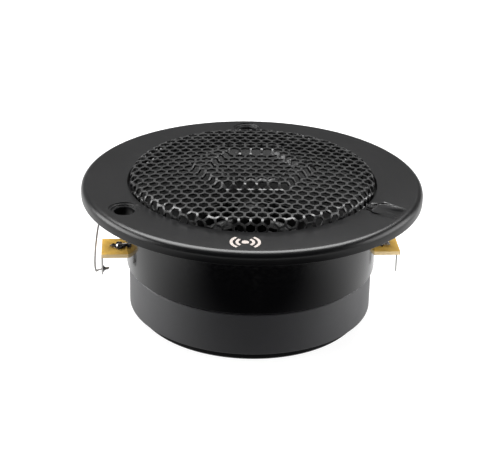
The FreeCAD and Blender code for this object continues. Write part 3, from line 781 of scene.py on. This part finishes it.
def make_flange_print():
    """Printed sign: a dot between pairs of sound arcs, as thin ink."""
    ink, half_angle = 0.05, math.radians(52)
    parts = [rod("sign_dot", 1.0, (0, 0), FLANGE_TOP, FLANGE_TOP + ink)]
    for radius in (2.25, 3.8):
        for side in (0, math.pi):
            let_go()
            middle = Vector((radius, 0, FLANGE_TOP + ink / 2)) * MM
            bpy.ops.mesh.primitive_plane_add(size=1, location=middle, rotation=(math.pi / 2, 0, 0),
                                             scale=(1, 1, 1))
            bar = named("sign_arc")
            bar.scale = (0.8 * MM, ink * MM, 1)
            bpy.ops.object.transform_apply(location=True, rotation=True, scale=True)
            set_down(bar, side - half_angle)
            open_mesh(bar, "FACE")
            bpy.ops.mesh.select_all(action="SELECT")
            bpy.ops.mesh.spin(steps=20, angle=2 * half_angle, center=(0, 0, 0), axis=(0, 0, -1))
            parts.append(close_up(bar, 30))
    sign = set_down(joined("flange_sign", parts), 0, (-3.5, -42.9, 0))
    close_up(sign, 30)
    return installed(sign, "housing", "print_white", "flange_print")


# ---------------------------------------------------------------- terminals

def make_board(side):
    """Fibre board with an eyelet hole, a rivet hole and softened sawn edges."""
    inner, outer, half = 25.0, 44.3, 5.5
    board = block("board_" + side, (inner, -half, PLATE_TOP), (outer, half, BOARD_TOP))
    carve(board, rod("eyelet_hole", 1.52, (39.2, 0), -30, 0),
          rod("rivet_hole", 1.22, (29.0, 3.2), -30, 0))
    soften(board, 0.07, 2)
    close_up(board, 30)
    set_down(board, side_turn(side))
    return installed(board, "housing", "board_fibre", "terminal_board_" + side)


def make_blade(side):
    """Push-on blade: rounded bend, chamfered tip, wire hole. The right one sits askew."""
    half, thick, bend_r = 2.4, 0.5, 0.6
    inner, foot_top = BLADE_IN, PLATE_TOP - 0.02
    foot_in = 41.9 if side == "left" else 37.4
    outer = inner + thick
    path = [(foot_in, 0, foot_top), (outer - bend_r, 0, foot_top)]
    path += [(x, 0, z) for x, z in arc((outer - bend_r, foot_top - bend_r), bend_r, 90, 0, 6)[1:]]
    path += [(outer, 0, BLADE_LOW + 0.7), (outer, 0, BLADE_LOW)]
    blade = drawn("blade_" + side, path)
    bpy.ops.transform.translate(value=(0, -half * MM, 0))
    bpy.ops.mesh.extrude_edges_move(TRANSFORM_OT_translate={"value": (0, 2 * half * MM, 0)})
    pick(blade, "verts", lambda v: v.co.z < (BLADE_LOW + 0.01) * MM)
    bpy.ops.transform.resize(value=(1, 0.78, 1))
    close_up(blade)
    outward = 1 if max(p.normal.x for p in blade.data.polygons) > 0.9 else -1
    apply_modifier(blade, "SOLIDIFY", thickness=thick * MM, offset=-outward)
    hole_y = 0.8 if side == "left" else -0.8
    let_go()
    bpy.ops.mesh.primitive_cylinder_add(vertices=24, radius=0.7 * MM, depth=4 * MM,
                                        location=(inner * MM, hole_y * MM, -24.3 * MM),
                                        rotation=(0, math.pi / 2, 0))
    carve(blade, named("hole_tool"))
    if side == "right":
        set_down(blade, 0, (-inner, 0, 0))
        set_down(blade, BLADE_ASKEW)
        set_down(blade, 0, (inner, 0, 0))
        carve(blade, rod("eyelet_hole", 1.52, (39.2, 0), -30, 0))
    soften(blade, 0.08, 2, 50)
    close_up(blade, 40)
    set_down(blade, side_turn(side))
    return installed(blade, "housing", "blade_tin", "blade_tab_" + side)


def make_eyelet(side):
    """Tubular eyelet with four curled petals split from its top."""
    foot = PLATE_TOP if side == "left" else PLATE_TOP - 0.5
    tube = turned("eyelet_" + side, [(1.05, foot - 0.4), (2.1, foot - 0.4), (2.2, foot - 0.3),
                                     (2.15, foot - 0.02), (1.5, foot), (1.5, BOARD_TOP),
                                     (1.75, BOARD_TOP + 0.12), (1.7, BOARD_TOP + 0.3),
                                     (1.3, BOARD_TOP + 0.34), (1.05, BOARD_TOP + 0.1)], SMALL_STEPS)
    leaf_line = [(1.1, -0.95, 0.30), (1.75, -0.8, 0.42), (2.35, -0.35, 0.26), (2.75, 0, 0.02),
                 (2.35, 0.35, 0.26), (1.75, 0.8, 0.42), (1.1, 0.95, 0.30)]
    leaf = drawn("petal", [(x, y, BOARD_TOP + 0.04 + z) for x, y, z in leaf_line])
    bpy.ops.mesh.edge_face_add()
    bpy.ops.mesh.poke()
    bpy.ops.mesh.subdivide(number_cuts=2, smoothness=0.6)
    close_up(leaf)
    upward = 1 if sum(p.normal.z for p in leaf.data.polygons) > 0 else -1
    apply_modifier(leaf, "SOLIDIFY", thickness=0.22 * MM, offset=upward)
    close_up(leaf, 50)
    petals = copies(leaf, [math.pi / 2 * k for k in range(4)])
    eyelet = joined("eyelet_" + side, [tube] + petals)
    set_down(eyelet, 0, (39.2, 0, 0))
    set_down(eyelet, side_turn(side))
    return installed(eyelet, "housing", "eyelet_dark", "eyelet_" + side)


def make_eyelet_solder(side):
    """Uneven blob of solder in the eyelet's mouth."""
    width, height = (0.95, 0.6) if side == "left" else (1.5, 0.9)
    let_go()
    bpy.ops.mesh.primitive_ico_sphere_add(subdivisions=2, radius=1.1 * MM)
    blob = named("solder_" + side)
    blob.scale = (width, width * 0.85, height)
    bpy.ops.object.transform_apply(location=True, rotation=True, scale=True)
    open_mesh(blob)
    bpy.ops.mesh.select_all(action="SELECT")
    bpy.ops.transform.vertex_random(offset=0.22 * MM, normal=0.6, seed=3)
    bpy.ops.object.mode_set(mode="OBJECT")
    apply_modifier(blob, "SUBSURF", levels=2, render_levels=2)
    close_up(blob, 60)
    set_down(blob, 0, (39.2, 0, BOARD_TOP + 0.3))
    set_down(blob, side_turn(side))
    return installed(blob, "housing", "solder_bright", "eyelet_solder_" + side)


def wire(name, points, radius, slot, *stands_for):
    """A bent wire: one smooth open curve with a round section, made a mesh."""
    let_go()
    line = bpy.data.curves.new(name, "CURVE")
    line.dimensions = "3D"
    spline = line.splines.new("NURBS")
    spline.points.add(len(points) - 1)
    for point, place in zip(spline.points, points):
        point.co = (*[c * MM for c in place], 1)
    spline.order_u = 3
    spline.use_endpoint_u = True
    line.resolution_u = 12
    line.bevel_depth = radius * MM
    line.bevel_resolution = 4
    line.use_fill_caps = True
    shape = bpy.data.objects.new(name, line)
    bpy.context.scene.collection.objects.link(shape)
    take(shape)
    bpy.ops.object.convert(target="MESH")
    piece = named(name)
    close_up(piece, 50)
    return installed(piece, "housing", slot, *stands_for) if slot else piece


def make_lead_wire(side):
    """Three tinned strands twisted together, from the coil tag past the eyelet's solder."""
    crest = BOARD_TOP + 0.82
    route = [(23.3, -17.18), (25.6, crest + 0.1), (30.0, crest - 0.15), (34.2, crest),
             (37.0, crest - 0.05), (38.6, crest - 0.25)]
    beside = 0.0
    if side == "right":
        route[-2:] = [(36.8, crest), (41.6, crest - 0.2)]
        beside = -1.7
    strands, lay, spread, thin = 3, 2.2, 0.24, 0.2
    parts = []
    for strand in range(strands):
        points = []
        count = 72
        for k in range(count + 1):
            u = route[0][0] + (route[-1][0] - route[0][0]) * k / count
            aside = beside * smooth_step(min(1, max(0, (u - 33.8) / 3.4)))
            a = 2 * math.pi * (u / lay + strand / strands)
            points.append((u, aside + spread * math.cos(a),
                           height_along(route, u) + spread * math.sin(a)))
        parts.append(wire("strand", points, thin, None))
    braid = set_down(joined("lead_" + side, parts), side_turn(side))
    return installed(braid, "housing", "wire_tinned", "lead_wire_" + side)


def height_along(route, u):
    """Height of the lead at a distance from the axis, eased between the route's points."""
    for (u0, z0), (u1, z1) in zip(route, route[1:]):
        if u <= u1:
            return z0 + (z1 - z0) * smooth_step(max(0, (u - u0) / (u1 - u0)))
    return route[-1][1]


def make_capacitor_wires():
    x, y, z = -42.3, 10.5, -4.6
    hole = -24.3
    wire("capacitor_wire_front", [(x - 1.6, y - 6.0, z), (x - 1.6, 2.6, z), (-45.2, 0.6, -10.4),
         (-46.1, -0.9, -16.6), (-46.5, -2.1, -22.6), (-46.1, -2.35, hole - 1.1),
         (-45.3, -2.35, hole - 0.05), (-42.1, -2.25, hole + 0.3)], 0.3, "wire_tinned",
         "capacitor_lead_front")
    wire("capacitor_wire_rear", [(x + 1.2, y + 6.0, z), (x + 1.2, 18.6, z), (-39.2, 17.6, -11.0),
         (-37.8, 12.4, -17.2), (-38.0, 7.4, -20.6), (-38.7, 2.4, -20.9), (-39.15, -1.0, -19.35)],
         0.3, "wire_tinned", "capacitor_lead_rear")


def make_blade_solder():
    """Cone of solder that wets the blade's inner face and climbs the wire."""
    profile = [(0, 0), (1.25, 0), (1.2, 0.1), (0.8, 0.28), (0.52, 0.6), (0.38, 1.1), (0.33, 1.6),
               (0, 1.65)]
    cone = turned("blade_fillet", profile, SMALL_STEPS, 60)
    take(cone)
    cone.matrix_world = Matrix.Rotation(-math.pi / 2, 4, "Y")
    bpy.ops.object.transform_apply(location=True, rotation=True, scale=True)
    set_down(cone, 0, (BLADE_IN + 0.02, 0.8, -24.27))
    set_down(cone, side_turn("left"))
    return installed(cone, "housing", "solder_bright", "blade_solder_left")


def make_capacitor():
    """Small can in a shrunk sleeve: rolled groove, soft sleeve ends, recessed end discs."""
    radius, length = 4.0, 12.0
    profile = [(0, 0.35), (2.6, 0.35), (2.7, 0.02), (3.3, 0)] + arc((3.4, 0.6), 0.6, -90, 0, 5)
    profile += [(4.0, 1.5), (3.62, 1.95), (3.55, 2.2), (3.62, 2.45), (4.0, 2.9), (4.0, 11.3)]
    profile += arc((3.4, length - 0.6), 0.6, 0, 90, 5)
    profile += [(3.0, length), (2.9, length - 0.25), (0, length - 0.25)]
    can = turned("capacitor_can", profile, SMALL_STEPS * 2, 40)
    take(can)
    can.matrix_world = Matrix.Rotation(-math.pi / 2, 4, "X")
    bpy.ops.object.transform_apply(location=True, rotation=True, scale=True)
    set_down(can, 0, (-42.3, 10.5 - length / 2, -4.6))
    return installed(can, "housing", "capacitor_sleeve", "series_capacitor")


# ---------------------------------------------------------------- dome

def make_dome():
    """Soft dome with its glue land, as a thin closed shell."""
    radius, thick = 12.5, 0.25
    rise = DOME_TOP - DOME_LOW
    sphere = (radius ** 2 + rise ** 2) / (2 * rise)
    centre = (0, DOME_TOP - sphere)
    edge = math.degrees(math.asin(radius / sphere))
    inner_edge = math.degrees(math.asin((radius - 0.6) / (sphere - thick)))
    profile = arc(centre, sphere, 90, 90 - edge, 14)
    profile[0] = (0, DOME_TOP)
    profile += [(radius - 0.6, DOME_LOW)]
    inside = arc(centre, sphere - thick, 90 - inner_edge, 90, 14)
    inside[-1] = (0, DOME_TOP - thick)
    return installed(turned("dome", profile + inside, 96, 50), "diaphragm", "dome_silk",
                     "dome_diaphragm")


def make_surround():
    """Half-roll edge of coated cloth."""
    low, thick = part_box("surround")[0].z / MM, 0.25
    low = max(low, -16.8)
    inner, outer = 13.0, 16.0
    mid, roll = (inner + outer) / 2, (outer - inner) / 2
    profile = [(12.56, low + thick), (12.56, low), (inner, low)]
    profile += arc((mid, low), roll - 0.02, 180, 0, 10)[1:-1]
    profile += [(outer, low), (17.2, low), (17.2, low + thick), (outer + thick, low + thick)]
    profile += arc((mid, low + thick), roll + 0.02, 0, 180, 10)[1:-1]
    profile += [(inner - thick, low + thick)]
    return installed(turned("surround_roll", profile, 96, 50), "housing", "coated_cloth",
                     "surround")


# ---------------------------------------------------------------- stage

def make_floor():
    """Light table of white paper. Mirror rays see it fade to dark on the viewer's side, as if
    black cards stood there; soft bounce comes back from it evenly."""
    let_go()
    bpy.ops.mesh.primitive_plane_add(size=6, location=(0, 0, YOKE_LOW * MM - 0.00005))
    floor = named("studio_floor")
    material = bpy.data.materials.new("studio_paper")
    material.use_nodes = True
    tree = material.node_tree
    paper = tree.nodes["Principled BSDF"]
    paper.inputs["Base Color"].default_value = (0.30, 0.30, 0.30, 1)
    paper.inputs["Roughness"].default_value = 0.9
    paper.inputs["Specular IOR Level"].default_value = 0.0
    paper.inputs["Emission Color"].default_value = (1, 1, 1, 1)
    paper.inputs["Emission Strength"].default_value = 0.85
    place = put(tree, "ShaderNodeTexCoord")
    card = put(tree, "ShaderNodeVectorMath", [("Vector", place.outputs["Object"])],
               operation="DISTANCE")
    card.inputs[1].default_value = (0, -0.12, 0)
    fade = put(tree, "ShaderNodeMapRange", [("Value", card.outputs["Value"])],
               interpolation_type="SMOOTHSTEP")
    fade.inputs["From Min"].default_value = 0.058
    fade.inputs["From Max"].default_value = 0.142
    fade.inputs["To Min"].default_value = 0.0
    fade.inputs["To Max"].default_value = 1.1
    mirror = put(tree, "ShaderNodeEmission", [("Strength", fade.outputs["Result"])])
    bounce = put(tree, "ShaderNodeEmission", Strength=0.22)
    path = put(tree, "ShaderNodeLightPath")
    soft = put(tree, "ShaderNodeMixShader", [("Fac", path.outputs["Is Diffuse Ray"])])
    tree.links.new(paper.outputs["BSDF"], soft.inputs[1])
    tree.links.new(bounce.outputs["Emission"], soft.inputs[2])
    swap = put(tree, "ShaderNodeMixShader", [("Fac", path.outputs["Is Glossy Ray"])])
    tree.links.new(soft.outputs["Shader"], swap.inputs[1])
    tree.links.new(mirror.outputs["Emission"], swap.inputs[2])
    tree.links.new(swap.outputs["Shader"], tree.nodes["Material Output"].inputs["Surface"])
    floor.data.materials.append(material)


def make_light(name, place, aim, size, power, tint=(1, 1, 1)):
    lamp = bpy.data.lights.new(name, "AREA")
    lamp.shape = "RECTANGLE"
    lamp.size, lamp.size_y = size
    lamp.energy = power
    lamp.color = tint
    light = bpy.data.objects.new(name, lamp)
    bpy.context.scene.collection.objects.link(light)
    light.location = place
    light.rotation_euler = (Vector(aim) - Vector(place)).to_track_quat("-Z", "Y").to_euler()
    return light


def make_world():
    """Soft room: grey behind and beside the object, dark on the viewer's side. The eye itself
    sees a white backdrop."""
    world = bpy.data.worlds.new("studio_room")
    bpy.context.scene.world = world
    world.use_nodes = True
    tree = world.node_tree
    place = put(tree, "ShaderNodeTexCoord")
    split = put(tree, "ShaderNodeSeparateXYZ", [("Vector", place.outputs["Generated"])])
    back = put(tree, "ShaderNodeMapRange", [("Value", split.outputs["Y"])],
               interpolation_type="SMOOTHSTEP")
    back.inputs["From Min"].default_value = -0.35
    back.inputs["From Max"].default_value = 0.45
    back.inputs["To Min"].default_value = 0.006
    back.inputs["To Max"].default_value = 0.2
    side = put(tree, "ShaderNodeMapRange", [("Value", split.outputs["X"])])
    side.inputs["From Min"].default_value = -1.0
    side.inputs["From Max"].default_value = 1.0
    side.inputs["To Min"].default_value = 1.6
    side.inputs["To Max"].default_value = 0.4
    level = put(tree, "ShaderNodeMath", operation="MULTIPLY")
    tree.links.new(back.outputs["Result"], level.inputs[0])
    tree.links.new(side.outputs["Result"], level.inputs[1])
    room = tree.nodes["Background"]
    tree.links.new(level.outputs["Value"], room.inputs["Strength"])
    seen = put(tree, "ShaderNodeBackground", Strength=1.0)
    path = put(tree, "ShaderNodeLightPath")
    swap = put(tree, "ShaderNodeMixShader", [("Fac", path.outputs["Is Camera Ray"])])
    tree.links.new(room.outputs["Background"], swap.inputs[1])
    tree.links.new(seen.outputs["Background"], swap.inputs[2])
    tree.links.new(swap.outputs["Shader"], tree.nodes["World Output"].inputs["Surface"])
    for node in (room, seen):
        node.inputs["Color"].default_value = (1, 1, 1, 1)


def make_camera():
    """Camera 45 cm away, 23 degrees above the flange, turned a little to the object's left."""
    distance, elevation = 0.450, math.radians(22.9)
    around, pan = math.radians(-2.7), math.radians(-0.05)
    tilt, roll = math.radians(24.59), math.radians(1.37)
    sensor, focal_in_widths = 36.0, 1535 / 500
    camera = bpy.data.cameras.new("view")
    camera.sensor_width = sensor
    camera.sensor_fit = "HORIZONTAL"
    camera.lens = sensor * focal_in_widths
    camera.clip_start = 0.01
    eye = bpy.data.objects.new("view", camera)
    bpy.context.scene.collection.objects.link(eye)
    stand = Matrix.Rotation(around, 4, "Z") @ Vector(
        (0, -distance * math.cos(elevation), distance * math.sin(elevation)))
    stand.z += FLANGE_TOP * MM
    aim = Matrix.Rotation(around - pan, 4, "Z") @ Matrix.Rotation(math.pi / 2 - tilt, 4, "X")
    eye.matrix_world = Matrix.Translation(stand) @ aim @ Matrix.Rotation(roll, 4, "Z")
    bpy.context.scene.camera = eye


def make_stage():
    make_floor()
    make_light("overhead_box", (-0.05, 0.30, 0.78), (0, 0, 0), (1.1, 0.6), 23.0)
    make_light("left_box", (-0.6, 0.06, 0.18), (0, 0, 0), (0.5, 0.32), 3.6)
    make_light("right_box", (0.6, 0.06, 0.16), (0, 0, 0), (0.5, 0.32), 2.2)
    for name, place, power in (("right_fill", (0.50, -0.24, 0.05), 4.0),
                               ("left_fill", (-0.48, -0.26, 0.05), 2.6)):
        fill = make_light(name, place, (0, 0, -0.02), (0.3, 0.3), power)
        fill.visible_glossy = False
    make_world()
    bpy.context.scene.view_settings.view_transform = "Standard"
    bpy.context.scene.view_settings.look = "None"


# ---------------------------------------------------------------- build

def finish_cad_nodes():
    """Give every CAD node its material from the record's slots."""
    slots = {part["node"]: part["material_slot"] for part in frame["record"]["subparts"]}
    for name, node in frame["nodes"].items():
        node.data.materials.clear()
        node.data.materials.append(materials[slots[name]])


make_camera()
finish_cad_nodes()
make_flange()
make_collar()
make_magnet()
make_yoke()
make_grille()
make_flange_print()
for terminal_side in ("left", "right"):
    make_board(terminal_side)
    make_blade(terminal_side)
    make_eyelet(terminal_side)
    make_eyelet_solder(terminal_side)
    make_lead_wire(terminal_side)
make_capacitor()
make_capacitor_wires()
make_blade_solder()
make_dome()
make_surround()
make_stage()
